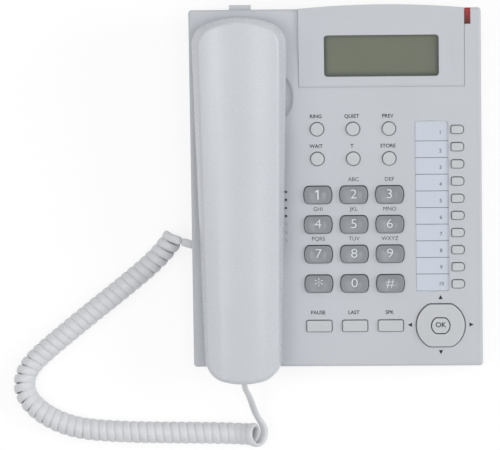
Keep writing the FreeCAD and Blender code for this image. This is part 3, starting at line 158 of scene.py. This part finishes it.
# Curly cord: a flat ribbon, wide along the coil
RIBBON_WIDTH = 5.2 * MM
RIBBON_THICK = 2.5 * MM
RIBBON_SIDES = 14
RIBBON_SQUARENESS = 2.3
COIL_DIAMETER = 13.3 * MM
COIL_RADIUS = (COIL_DIAMETER - RIBBON_THICK) / 2
COIL_TURNS = 57.458
COIL_START_ANGLE = math.radians(15)
COIL_START_STRETCH = 3.0 * MM
COIL_START_TURNS = 2.5
COIL_END_FLARE = 1.2 * MM
POINTS_PER_TURN = 30
ROUTE_ORDER = 3
ROUTE_STEPS = 24
HEADING_STEP = 0.4 * MM
COIL_REST = 6.8 * MM
BASE_TAIL_STRAIGHT = 3 * MM
BASE_TAIL_WIDTH = Vector((0.4, 0.9, 0.3)).normalized()
HANDSET_TAIL_STRAIGHT = 4 * MM
HANDSET_TAIL_WIDTH = Vector((0.55, 0, 1)).normalized()
TAIL_STEP = 0.8 * MM
PLUG_LENGTH = 12.5 * MM
PLUG_STRAIGHT = 4.7 * MM

# The coil's middle line from the base to the handset: millimetres on the table and above the coil's rest
COIL_ROUTE = [
    (-100.3, -25.5, 2.0), (-106.7, -35.3, 0.0), (-129.4, -54.3, 0.0), (-148.9, -69.5, 0.0),
    (-165.6, -82.9, 0.0), (-179.5, -94.4, 0.0), (-188.4, -102.8, 0.0), (-192.4, -111.6, 0.0),
    (-191.6, -120.4, 0.0), (-185.7, -128.4, 0.0), (-175.5, -135.6, 0.0), (-161.6, -140.9, 0.0),
    (-145.0, -143.0, 0.0), (-120.7, -144.1, 0.0), (-91.8, -144.4, 0.0), (-72.4, -144.7, 0.0),
    (-61.5, -145.1, 0.0), (-56.0, -145.3, 2.3), (-49.5, -145.5, 6.5),
]
HANDSET_TAIL_ROUTE = [(-50.6, -134.0, 9.5), (-54.0, -121.4, 21.0)]


# Materials

def colour(red, green, blue):
    """A colour as it looks on a screen, from 0 to 255, in the linear values that shaders take."""
    linear = [((value / 255 + 0.055) / 1.055) ** 2.4 for value in (red, green, blue)]
    return (*linear, 1.0)


def noise(tree, coordinates, scale, detail):
    node = tree.nodes.new("ShaderNodeTexNoise")
    node.inputs["Scale"].default_value = scale
    node.inputs["Detail"].default_value = detail
    tree.links.new(coordinates, node.inputs["Vector"])
    return node.outputs["Fac"]


def spread(tree, value, low, high):
    """Map a noise value to the range from low to high."""
    node = tree.nodes.new("ShaderNodeMapRange")
    node.inputs["From Min"].default_value = NOISE_LOW
    node.inputs["From Max"].default_value = NOISE_HIGH
    node.inputs["To Min"].default_value = low
    node.inputs["To Max"].default_value = high
    tree.links.new(value, node.inputs["Value"])
    return node.outputs["Result"]


def mixed(tree, value, first, second):
    node = tree.nodes.new("ShaderNodeMix")
    node.data_type = "RGBA"
    tree.links.new(value, node.inputs["Factor"])
    node.inputs["A"].default_value = first
    node.inputs["B"].default_value = second
    return node.outputs["Result"]


def moulded(name, tint, roughness, grain, relief, mottle=0.03, patch=0.03):
    """Moulded material: faint mottling in patches, uneven gloss, and a fine grain of some relief."""
    made = bpy.data.materials.new(name)
    made.use_nodes = True
    tree = made.node_tree
    shader = tree.nodes["Principled BSDF"]
    place = tree.nodes.new("ShaderNodeTexCoord").outputs["Object"]
    patches = noise(tree, place, 1 / patch, PATCH_DETAIL)
    dark = tuple(value * (1 - mottle) for value in tint[:3]) + (1.0,)
    light = tuple(value * (1 + mottle) for value in tint[:3]) + (1.0,)
    tree.links.new(mixed(tree, patches, dark, light), shader.inputs["Base Color"])
    grains = noise(tree, place, 1 / grain, GRAIN_DETAIL)
    gloss = spread(tree, grains, roughness * (1 - GLOSS_SPREAD), roughness * (1 + GLOSS_SPREAD))
    tree.links.new(gloss, shader.inputs["Roughness"])
    bump = tree.nodes.new("ShaderNodeBump")
    bump.inputs["Strength"].default_value = BUMP_STRENGTH
    bump.inputs["Distance"].default_value = relief
    tree.links.new(grains, bump.inputs["Height"])
    tree.links.new(bump.outputs["Normal"], shader.inputs["Normal"])
    return made


def place_along(tree, axis):
    parts = tree.nodes.new("ShaderNodeSeparateXYZ")
    tree.links.new(tree.nodes.new("ShaderNodeTexCoord").outputs["Object"], parts.inputs[0])
    return parts.outputs[axis]


def between(tree, value, low, high):
    """Share of the way from low to high, from 0 to 1."""
    node = tree.nodes.new("ShaderNodeMapRange")
    node.inputs["From Min"].default_value = low
    node.inputs["From Max"].default_value = high
    tree.links.new(value, node.inputs["Value"])
    return node.outputs["Result"]


def own_box(node):
    """Least and greatest corner of a node in its own coordinates."""
    places = [vertex.co for vertex in NODES[node].data.vertices]
    low = Vector([min(place[axis] for place in places) for axis in range(3)])
    high = Vector([max(place[axis] for place in places) for axis in range(3)])
    return low, high


def paint_light_along_y(made, node, front, back):
    """Paint light and shade onto a material: its colour runs from a shaded one at the front of a node to a
    lit one at its back.
    """
    tree = made.node_tree
    low, high = own_box(node)
    share = between(tree, place_along(tree, "Y"), low.y, high.y)
    tree.links.new(mixed(tree, share, front, back), tree.nodes["Principled BSDF"].inputs["Base Color"])


def paint_rim_shadow(made, node, margin, tint):
    """Paint shadow onto a material: its colour turns to a shadow tint near a node's four sides."""
    tree = made.node_tree
    shader = tree.nodes["Principled BSDF"]
    low, high = own_box(node)
    rim = tree.nodes.new("ShaderNodeMath")
    rim.operation = "MAXIMUM"
    for index, axis in enumerate("XY"):
        half = (high[index] - low[index]) / 2
        offset = tree.nodes.new("ShaderNodeMath")
        offset.operation = "SUBTRACT"
        tree.links.new(place_along(tree, axis), offset.inputs[0])
        offset.inputs[1].default_value = low[index] + half
        distance = tree.nodes.new("ShaderNodeMath")
        distance.operation = "ABSOLUTE"
        tree.links.new(offset.outputs[0], distance.inputs[0])
        tree.links.new(between(tree, distance.outputs[0], half - margin, half), rim.inputs[index])
    blend = tree.nodes.new("ShaderNodeMix")
    blend.data_type = "RGBA"
    tree.links.new(rim.outputs[0], blend.inputs["Factor"])
    tree.links.new(shader.inputs["Base Color"].links[0].from_socket, blend.inputs["A"])
    blend.inputs["B"].default_value = tint
    tree.links.new(blend.outputs["Result"], shader.inputs["Base Color"])


def paint_crevice_shade(made, strength):
    """Paint shade onto a material's colour in narrow gaps and inside corners, from an ambient occlusion
    node.
    """
    tree = made.node_tree
    shader = tree.nodes["Principled BSDF"]
    tint = shader.inputs["Base Color"].links[0].from_socket
    near = tree.nodes.new("ShaderNodeAmbientOcclusion")
    near.samples = CREVICE_SHADE_SAMPLES
    near.inputs["Distance"].default_value = CREVICE_SHADE_REACH
    tree.links.new(tint, near.inputs["Color"])
    crevice_shade = tree.nodes.new("ShaderNodeMix")
    crevice_shade.data_type = "RGBA"
    crevice_shade.blend_type = "MULTIPLY"
    crevice_shade.inputs["Factor"].default_value = strength
    tree.links.new(tint, crevice_shade.inputs["A"])
    tree.links.new(near.outputs["AO"], crevice_shade.inputs["B"])
    tree.links.new(crevice_shade.outputs["Result"], shader.inputs["Base Color"])


def make_materials():
    made = {
        "housing": moulded("housing_plastic", colour(199, 202, 208), 0.5, 0.45 * MM, 0.02 * MM),
        "handset_shell": moulded("handset_plastic", colour(206, 209, 215), 0.28, 0.6 * MM, 0.004 * MM),
        "light_keys": moulded("light_key_plastic", colour(199, 202, 205), 0.42, 0.4 * MM, 0.008 * MM),
        "dial_keys": moulded("dial_key_plastic", colour(143, 147, 153), 0.2, 0.4 * MM, 0.0005 * MM),
        "cord": moulded("cord_vinyl", colour(221, 223, 226), 0.42, 0.5 * MM, 0.012 * MM, patch=0.02),
        "lcd": moulded("lcd_glass", colour(99, 105, 84), 0.35, 0.5 * MM, 0.004 * MM, patch=0.04),
        "card": moulded("card_paper", colour(208, 214, 226), 0.75, 0.15 * MM, 0.01 * MM),
        "lamp": moulded("lamp_red", colour(*LAMP_BACK_LIT), 0.22, 0.8 * MM, 0.004 * MM),
        "rubber": moulded("grey_rubber", colour(84, 85, 88), 0.75, 0.3 * MM, 0.02 * MM),
        "board": moulded("board_green", colour(40, 92, 58), 0.4, 0.8 * MM, 0.01 * MM, mottle=0.12),
        "speaker": moulded("dark_metal", colour(58, 59, 62), 0.45, 0.3 * MM, 0.01 * MM),
        "steel": moulded("plated_steel", colour(176, 178, 182), 0.3, 0.3 * MM, 0.006 * MM),
        "jack": moulded("jack_plastic", colour(70, 72, 76), 0.45, 0.4 * MM, 0.01 * MM),
        "plug": moulded("plug_plastic", colour(216, 218, 220), 0.18, 0.6 * MM, 0.004 * MM),
        "clear": moulded("clear_plastic", colour(232, 237, 240), 0.12, 0.8 * MM, 0.002 * MM),
        "print_dark": moulded("print_dark", colour(32, 34, 40), 0.6, 0.2 * MM, 0.004 * MM),
        "print_pale": moulded("print_pale", colour(226, 232, 236), 0.5, 0.2 * MM, 0.004 * MM),
        "print_grey": moulded("print_grey", colour(110, 115, 126), 0.7, 0.2 * MM, 0.004 * MM),
    }
    made["steel"].node_tree.nodes["Principled BSDF"].inputs["Metallic"].default_value = 1.0
    made["speaker"].node_tree.nodes["Principled BSDF"].inputs["Metallic"].default_value = SPEAKER_METALLIC
    made["clear"].node_tree.nodes["Principled BSDF"].inputs["Alpha"].default_value = CLEAR_OPACITY
    # Painted light and shade along the lamp's lens, darker at its front
    paint_light_along_y(made["lamp"], "ring_lamp_lens", colour(*LAMP_FRONT_SHADED), colour(*LAMP_BACK_LIT))
    # Painted shadow round the LCD's rim
    paint_rim_shadow(made["lcd"], "lcd_module", LCD_RIM_SHADOW, colour(*LCD_RIM_SHADOW_TINT))
    # Painted shade in the keys' gaps and corners
    for slot, strength in CREVICE_SHADE_STRENGTHS.items():
        paint_crevice_shade(made[slot], strength)
    return made


MATERIALS = make_materials()


def dress(thing, name):
    thing.data.materials.clear()
    thing.data.materials.append(MATERIALS[name])


def dress_cad_nodes():
    """Give each CAD node its slot's finish, with smooth curves and crisp edges."""
    slots = {row["node"]: row["material_slot"] for row in frame["record"]["subparts"]}
    for name, node in NODES.items():
        dress(node, slots[name])
        weld = node.modifiers.new("weld", "WELD")
        weld.merge_threshold = WELD_REACH
        if slots[name] == "clear":
            shrink = node.modifiers.new("shrink", "DISPLACE")
            shrink.mid_level = 0
            shrink.strength = -CLEAR_SHRINK
        for face in node.data.polygons:
            face.use_smooth = True
        sharp = node.modifiers.new("edges", "EDGE_SPLIT")
        sharp.split_angle = CRISP_ANGLE


# Small makers

def new_object(name, mesh):
    made = bpy.data.objects.new(name, mesh)
    bpy.context.scene.collection.objects.link(made)
    return made


def deck_matrix(x, v, w):
    """Place on the key deck: x across, v up the deck from its front edge, w above it."""
    spot = DECK_FRONT + Vector((x, 0, 0)) + DECK_UP * v + DECK_OUT * w
    turn = Matrix((Vector((1, 0, 0)), DECK_UP, DECK_OUT)).transposed()
    return Matrix.Translation(spot) @ turn.to_4x4()


def deck_place(node):
    """Where a node's middle lies on the key deck, as (x, v)."""
    low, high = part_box(node)
    middle = (low + high) / 2
    return middle.x, (middle - DECK_FRONT).dot(DECK_UP)


def text_mesh(words, size, weight=WORD_WEIGHT):
    """Closed thin mesh of some words, centred on the origin, made bolder by a share of their size."""
    curve = bpy.data.curves.new("words", "FONT")
    curve.body = words
    curve.size = size
    curve.offset = weight * size
    curve.align_x = "CENTER"
    curve.align_y = "CENTER"
    curve.extrude = PRINT_THICK / 2
    curve.resolution_u = TEXT_STEPS
    holder = new_object("words", curve)
    mesh = bpy.data.meshes.new_from_object(holder)
    bpy.data.objects.remove(holder)
    bpy.data.curves.remove(curve)
    return mesh


def outline_mesh(corners):
    """Closed thin mesh of one outline, whose corners run counterclockwise."""
    built = bmesh.new()
    height = PRINT_THICK / 2
    low = [built.verts.new((x, y, -height)) for x, y in corners]
    high = [built.verts.new((x, y, height)) for x, y in corners]
    built.faces.new(low[::-1])
    built.faces.new(high)
    for index in range(len(corners)):
        after = (index + 1) % len(corners)
        built.faces.new((low[index], low[after], high[after], high[index]))
    mesh = bpy.data.meshes.new("outline")
    built.to_mesh(mesh)
    built.free()
    return mesh


def arrow_mesh(size, turn):
    """Triangle that points up the deck, turned by an angle."""
    mesh = outline_mesh([(-size / 2, -size / 3), (size / 2, -size / 3), (0, 2 * size / 3)])
    mesh.transform(Matrix.Rotation(turn, 4, "Z"))
    return mesh


def rule_mesh(width, length):
    mesh = bpy.data.meshes.new("rule")
    built = bmesh.new()
    bmesh.ops.create_cube(built, size=1.0, matrix=Matrix.Diagonal((width, length, PRINT_THICK, 1)))
    built.to_mesh(mesh)
    built.free()
    return mesh


def gathered(name, meshes, finish, body):
    """Join meshes that are already in place into one piece that rides on a body."""
    built = bmesh.new()
    for mesh in meshes:
        built.from_mesh(mesh)
        bpy.data.meshes.remove(mesh)
    joined = bpy.data.meshes.new(name)
    built.to_mesh(joined)
    built.free()
    piece = new_object(name, joined)
    dress(piece, finish)
    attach(piece, body)


def on_deck(mesh, x, v, w=0.0):
    """Lay a flat mark on the deck, or w above it, sunk in a little."""
    mesh.transform(deck_matrix(x, v, w + PRINT_THICK / 2 - PRINT_SINK))
    return mesh


# Printed marks on the deck, the keys and the card

def print_deck():
    """Words and letters on the deck, each above its key, and arrows round the navigation ring."""
    marks = []
    for index, words in enumerate(ROUND_WORDS):
        x, v = deck_place(f"round_key_{index + 1}")
        marks.append(on_deck(text_mesh(words, WORD_SIZE), x + WORD_SHIFT, v + ROUND_WORD_RISE))
    for name, letters in zip(DIAL_NAMES, DIAL_LETTERS):
        if letters:
            x, v = deck_place(f"dial_key_{name}")
            marks.append(on_deck(text_mesh(letters, LETTER_SIZE, LETTER_WEIGHT), x, v + DIAL_LETTER_RISE))
    for name, words in BAR_WORDS.items():
        x, v = deck_place(f"bar_key_{name}")
        marks.append(on_deck(text_mesh(words, WORD_SIZE), x + WORD_SHIFT, v + BAR_WORD_RISE))
    x, v = deck_place("nav_ring")
    low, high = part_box("nav_ring")
    across = (high.x - low.x) / 2 + ARROW_GAP
    along = (high.y - low.y) / 2 + ARROW_GAP
    for turn, dx, dv in ((0, 0, along), (90, -across, 0), (180, 0, -along), (270, across, 0)):
        marks.append(on_deck(arrow_mesh(ARROW_SIZE, math.radians(turn)), x + dx, v + dv))
    gathered("deck_marks", marks, "print_dark", "base")


def surface_of(node):
    return BVHTree.FromPolygons([vertex.co for vertex in NODES[node].data.vertices],
                                [face.vertices for face in NODES[node].data.polygons])


def print_on_key(node, mesh, finish):
    """Lay words on the top of a key, dished or flat."""
    built = bmesh.new()
    built.from_mesh(mesh)
    bpy.data.meshes.remove(mesh)
    bmesh.ops.triangulate(built, faces=built.faces)
    for _ in range(PRINT_SPLITS):
        long_edges = [edge for edge in built.edges if edge.calc_length() > PRINT_EDGE]
        bmesh.ops.subdivide_edges(built, edges=long_edges, cuts=1)
        bmesh.ops.triangulate(built, faces=built.faces)
    x, v = deck_place(node)
    surface = surface_of(node)
    for vertex in built.verts:
        lift = vertex.co.z + PRINT_THICK / 2 - PRINT_SINK
        start = deck_matrix(x + vertex.co.x, v + vertex.co.y, PRINT_START).translation
        hit = surface.ray_cast(start, -DECK_OUT)[0]
        vertex.co = hit + DECK_OUT * lift
    made = bpy.data.meshes.new(f"{node}_mark")
    built.to_mesh(made)
    built.free()
    piece = new_object(f"{node}_mark", made)
    dress(piece, finish)
    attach(piece, node)


def dial_mark(mark):
    """Mesh of a dial key's mark, of which the 1 and the star have shapes or sizes of their own."""
    if mark == "1":
        mesh = outline_mesh([(x * DIGIT_SIZE, y * DIGIT_SIZE) for x, y in ONE_OUTLINE])
    elif mark == "*":
        mesh = text_mesh(mark, STAR_SIZE, DIGIT_WEIGHT)
        mesh.transform(Matrix.Translation((0, -STAR_DROP, 0)))
    else:
        mesh = text_mesh(mark, DIGIT_SIZE, DIGIT_WEIGHT)
    mesh.transform(Matrix.Diagonal((DIGIT_STRETCH, 1, 1, 1)))
    return mesh


def print_keys():
    for name, mark in zip(DIAL_NAMES, DIAL_MARKS):
        print_on_key(f"dial_key_{name}", dial_mark(mark), "print_pale")
    print_on_key("set_key", text_mesh(SET_WORD, SET_WORD_SIZE), "print_dark")


def print_card():
    """Rules and row numbers on the index card."""
    x, v = deck_place("label_card")
    low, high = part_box("label_card")
    width = high.x - low.x
    length = (high.y - low.y) / math.cos(KEY_SLOPE)
    level = (high - DECK_FRONT).dot(DECK_OUT)
    top = v + length / 2
    row = (length - CARD_FIRST_ROW) / (CARD_ROWS - 1)
    rules = []
    numbers = []
    for index in range(CARD_ROWS):
        row_low = top - CARD_FIRST_ROW - row * index
        row_height = row if index else CARD_FIRST_ROW
        if index < CARD_ROWS - 1:
            rules.append(on_deck(rule_mesh(width, RULE_WIDTH), x, row_low, level))
        number = text_mesh(str(index + 1), CARD_NUMBER_SIZE)
        place = x + width / 2 - CARD_NUMBER_INSET
        numbers.append(on_deck(number, place, row_low + row_height / 2 - CARD_NUMBER_DROP, level))
    gathered("card_rules", rules, "print_grey", "base")
    gathered("card_numbers", numbers, "print_grey", "base")


# Curly cord

def smooth_line(points):
    """Points along the smooth curve that has these as its control points."""
    curve = bpy.data.curves.new("route", "CURVE")
    curve.dimensions = "3D"
    spline = curve.splines.new("NURBS")
    spline.points.add(len(points) - 1)
    for control, point in zip(spline.points, points):
        control.co = (*point, 1.0)
    spline.order_u = ROUTE_ORDER
    spline.use_endpoint_u = True
    spline.resolution_u = ROUTE_STEPS
    holder = new_object("route", curve)
    mesh = bpy.data.meshes.new_from_object(holder)
    line = [vertex.co.copy() for vertex in mesh.vertices]
    bpy.data.objects.remove(holder)
    bpy.data.curves.remove(curve)
    bpy.data.meshes.remove(mesh)
    return line


class Line:
    """A line of points that can be asked for its place and direction at any distance."""

    def __init__(self, points):
        self.points = points
        self.marks = [0.0]
        for before, after in zip(points, points[1:]):
            self.marks.append(self.marks[-1] + (after - before).length)
        self.length = self.marks[-1]

    def at(self, distance):
        distance = min(max(distance, 0.0), self.length)
        low, high = 1, len(self.marks) - 1
        while low < high:
            middle = (low + high) // 2
            if self.marks[middle] < distance:
                low = middle + 1
            else:
                high = middle
        share = (distance - self.marks[low - 1]) / (self.marks[low] - self.marks[low - 1])
        return self.points[low - 1].lerp(self.points[low], share)

    def heading(self, distance):
        return (self.at(distance + HEADING_STEP) - self.at(distance - HEADING_STEP)).normalized()


def coil_turns():
    """Points of the curls and, at each, the direction across the ribbon's width."""
    route = [Vector((x * MM, y * MM, COIL_REST + lift * MM)) for x, y, lift in COIL_ROUTE]
    line = Line(smooth_line(route))
    steps = math.ceil(COIL_TURNS * POINTS_PER_TURN)
    even_length = line.length - COIL_START_STRETCH
    points = []
    widths = []
    for step in range(steps + 1):
        turns = COIL_TURNS * step / steps
        start_slack = COIL_START_STRETCH * (1 - math.exp(-turns / COIL_START_TURNS))
        distance = even_length * step / steps + start_slack
        into_last = max(0, turns - COIL_TURNS + 1)
        along = line.heading(distance)
        side = along.cross(Vector((0, 0, 1))).normalized()
        up = side.cross(along)
        angle = COIL_START_ANGLE + 2 * math.pi * turns
        radius = COIL_RADIUS + COIL_END_FLARE * into_last
        points.append(line.at(distance) + (up * math.cos(angle) + side * math.sin(angle)) * radius)
        widths.append(along)
    return points, widths


def tail(points, first_width, last_width):
    """Points of a tail, with the ribbon turning evenly from one width direction to the other."""
    line = Line(smooth_line(points))
    count = math.ceil(line.length / TAIL_STEP)
    spots = [line.at(line.length * step / count) for step in range(count + 1)]
    widths = []
    for step in range(count + 1):
        share = step / count
        widths.append(first_width.lerp(last_width, share).normalized())
    return spots, widths


def ribbon_section():
    """Outline of the ribbon as (across its width, across its thickness)."""
    outline = []
    for index in range(RIBBON_SIDES):
        angle = 2 * math.pi * index / RIBBON_SIDES
        across = math.copysign(abs(math.cos(angle)) ** (2 / RIBBON_SQUARENESS), math.cos(angle))
        through = math.copysign(abs(math.sin(angle)) ** (2 / RIBBON_SQUARENESS), math.sin(angle))
        outline.append((across * RIBBON_WIDTH / 2, through * RIBBON_THICK / 2))
    return outline


def sweep(name, points, widths):
    """Sweep the ribbon along points."""
    section = ribbon_section()
    built = bmesh.new()
    rings = []
    for index, point in enumerate(points):
        before = points[max(index - 1, 0)]
        after = points[min(index + 1, len(points) - 1)]
        heading = (after - before).normalized()
        across = (widths[index] - heading * widths[index].dot(heading)).normalized()
        through = heading.cross(across)
        rings.append([built.verts.new(point + across * a + through * b) for a, b in section])
    for ring, after in zip(rings, rings[1:]):
        for index in range(RIBBON_SIDES):
            other = (index + 1) % RIBBON_SIDES
            built.faces.new((ring[index], ring[other], after[other], after[index]))
    built.faces.new(rings[0][::-1])
    built.faces.new(rings[-1])
    bmesh.ops.recalc_face_normals(built, faces=built.faces)
    for face in built.faces:
        face.smooth = len(face.verts) == 4
    mesh = bpy.data.meshes.new(name)
    built.to_mesh(mesh)
    built.free()
    return new_object(name, mesh)


def make_cord():
    coil, widths = coil_turns()
    start_heading = (coil[1] - coil[0]).normalized()
    end_heading = (coil[-1] - coil[-2]).normalized()
    low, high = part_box("cord_plug_base")
    exit_point = Vector((low.x, (low.y + high.y) / 2, (low.z + high.z) / 2))
    base_tail, base_widths = tail([exit_point, coil[0] - start_heading * BASE_TAIL_STRAIGHT, coil[0]],
                                  BASE_TAIL_WIDTH, widths[0])
    low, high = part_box("cord_plug_handset")
    plug = (low + high) / 2 - DECK_UP * PLUG_LENGTH / 2
    handset_tail, handset_widths = tail(
        [coil[-1], coil[-1] + end_heading * HANDSET_TAIL_STRAIGHT]
        + [Vector(point) * MM for point in HANDSET_TAIL_ROUTE]
        + [plug - DECK_UP * PLUG_STRAIGHT, plug], widths[-1], HANDSET_TAIL_WIDTH)
    points = base_tail[:-1] + coil + handset_tail[1:]
    widths = base_widths[:-1] + widths + handset_widths[1:]
    cord = sweep("curly_cord", points, widths)
    dress(cord, "cord")
    length = Line(points).length
    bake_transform(cord)
    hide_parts("cord_coil", "cord_tail_base", "cord_tail_handset")


# Stage, light and camera

def floor_material():
    """A pale floor to light, and an even white that keeps the shadow to the camera and in reflections."""
    made = bpy.data.materials.new("floor_white")
    made.use_nodes = True
    tree = made.node_tree
    tree.nodes.clear()
    output = tree.nodes.new("ShaderNodeOutputMaterial")
    rays = tree.nodes.new("ShaderNodeLightPath")
    seen = rays.outputs["Is Camera Ray"]
    for kind in ("Is Glossy Ray", "Is Transmission Ray"):
        either = tree.nodes.new("ShaderNodeMath")
        either.operation = "MAXIMUM"
        tree.links.new(seen, either.inputs[0])
        tree.links.new(rays.outputs[kind], either.inputs[1])
        seen = either.outputs[0]
    matt = tree.nodes.new("ShaderNodeBsdfDiffuse")
    matt.inputs["Color"].default_value = (FLOOR_BOUNCE, FLOOR_BOUNCE, FLOOR_BOUNCE, 1)
    shaded = tree.nodes.new("ShaderNodeBsdfDiffuse")
    shaded.inputs["Color"].default_value = (FLOOR_SHADED, FLOOR_SHADED, FLOOR_SHADED, 1)
    glow = tree.nodes.new("ShaderNodeEmission")
    glow.inputs["Strength"].default_value = FLOOR_GLOW
    backdrop = tree.nodes.new("ShaderNodeAddShader")
    tree.links.new(shaded.outputs[0], backdrop.inputs[0])
    tree.links.new(glow.outputs[0], backdrop.inputs[1])
    choice = tree.nodes.new("ShaderNodeMixShader")
    tree.links.new(seen, choice.inputs["Fac"])
    tree.links.new(matt.outputs[0], choice.inputs[1])
    tree.links.new(backdrop.outputs[0], choice.inputs[2])
    tree.links.new(choice.outputs[0], output.inputs["Surface"])
    return made


def make_stage():
    mesh = bpy.data.meshes.new("floor")
    built = bmesh.new()
    bmesh.ops.create_grid(built, x_segments=1, y_segments=1, size=FLOOR_HALF_WIDTH)
    built.to_mesh(mesh)
    built.free()
    floor = new_object("floor", mesh)
    floor.location.z = -FLOOR_DROP
    floor.data.materials.append(floor_material())


def make_surround():
    world = bpy.data.worlds.new("studio")
    bpy.context.scene.world = world
    world.use_nodes = True
    background = world.node_tree.nodes["Background"]
    background.inputs["Color"].default_value = (1, 1, 1, 1)
    background.inputs["Strength"].default_value = SURROUND_STRENGTH


def make_lamps():
    """Lamps that all point at the phone."""
    for name, (place, size, power) in LAMPS.items():
        data = bpy.data.lights.new(name, "AREA")
        data.shape = "RECTANGLE"
        data.size, data.size_y = size
        data.energy = power
        lamp = new_object(name, data)
        lamp.location = place
        lamp.rotation_euler = (-Vector(place)).to_track_quat("-Z", "Y").to_euler()


def make_camera():
    data = bpy.data.cameras.new("camera")
    data.sensor_width = SENSOR_WIDTH
    picture_width = PICTURE_WIDTH_PX * PICTURE_SCALE
    data.lens = SENSOR_WIDTH * CAMERA_DISTANCE / picture_width
    data.clip_end = CAMERA_REACH
    camera = new_object("camera", data)
    camera.rotation_euler = (0, CAMERA_TILT, CAMERA_ROLL)
    backwards = camera.rotation_euler.to_matrix() @ Vector((0, 0, 1))
    camera.location = CAMERA_AIM + backwards * CAMERA_DISTANCE
    bpy.context.scene.camera = camera


dress_cad_nodes()
print_deck()
print_keys()
print_card()
make_cord()
make_stage()
make_surround()
make_lamps()
make_camera()
bpy.context.scene.view_settings.view_transform = "Standard"
